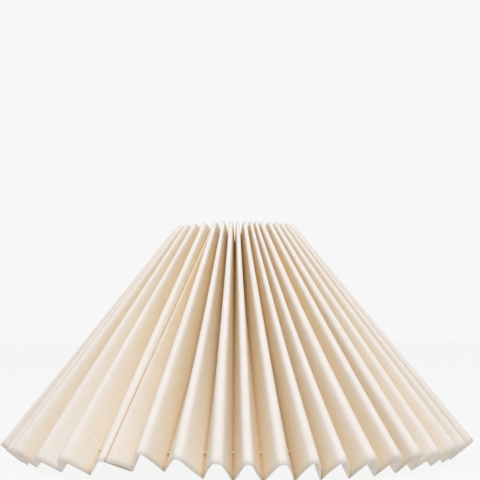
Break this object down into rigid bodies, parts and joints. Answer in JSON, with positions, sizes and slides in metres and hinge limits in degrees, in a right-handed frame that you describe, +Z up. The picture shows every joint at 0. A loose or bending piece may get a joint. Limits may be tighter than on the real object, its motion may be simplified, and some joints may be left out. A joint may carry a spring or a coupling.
{
  "type": "pleated lamp shade",
  "caption": "Cone-shaped lamp shade of accordion-pleated ivory cotton canvas, cord-gathered over a wire frame with a dropped fitter ring and a loose reducer ring.",
  "frame": {"origin": "centre of the hem, on the surface that the shade stands on when it is put down", "axes": "+Z up along the shade's axis; -Y is the front; the seams lie at the front left and the back right"},
  "size_m": [0.4001, 0.4011, 0.1989],
  "materials": {
    "cotton": "ivory cotton canvas, matt, bonded to a thin stiffening film",
    "enamel": "white enamelled steel, satin",
    "thread": "twisted cotton, natural",
    "plastic": "white moulded plastic"
  },
  "bodies": {
    "shade": {"cover_right": "cotton", "cover_left": "cotton", "top_ring": "enamel", "hem_ring": "enamel", "fitter_ring": "enamel", "rib_1": "enamel", "rib_2": "enamel", "rib_3": "enamel", "rib_4": "enamel", "rib_5": "enamel", "rib_6": "enamel", "fitter_arm_1": "enamel", "fitter_arm_2": "enamel", "fitter_arm_3": "enamel", "top_cord": "thread", "top_knot": "thread", "top_tie_1": "thread", "top_tie_2": "thread", "top_tie_3": "thread", "top_tie_4": "thread", "top_tie_5": "thread", "top_tie_6": "thread", "hem_cord": "thread", "hem_knot": "thread", "hem_tie_1": "thread", "hem_tie_2": "thread", "hem_tie_3": "thread", "hem_tie_4": "thread", "hem_tie_5": "thread", "hem_tie_6": "thread"},
    "reducer": {"reducer_ring": "plastic"}
  },
  "joints": [
    {"name": "reducer_lift", "type": "slide", "parent": "shade", "child": "reducer", "axis": [0, 0, 1], "range_m": [0, 0.03]}
  ]
}
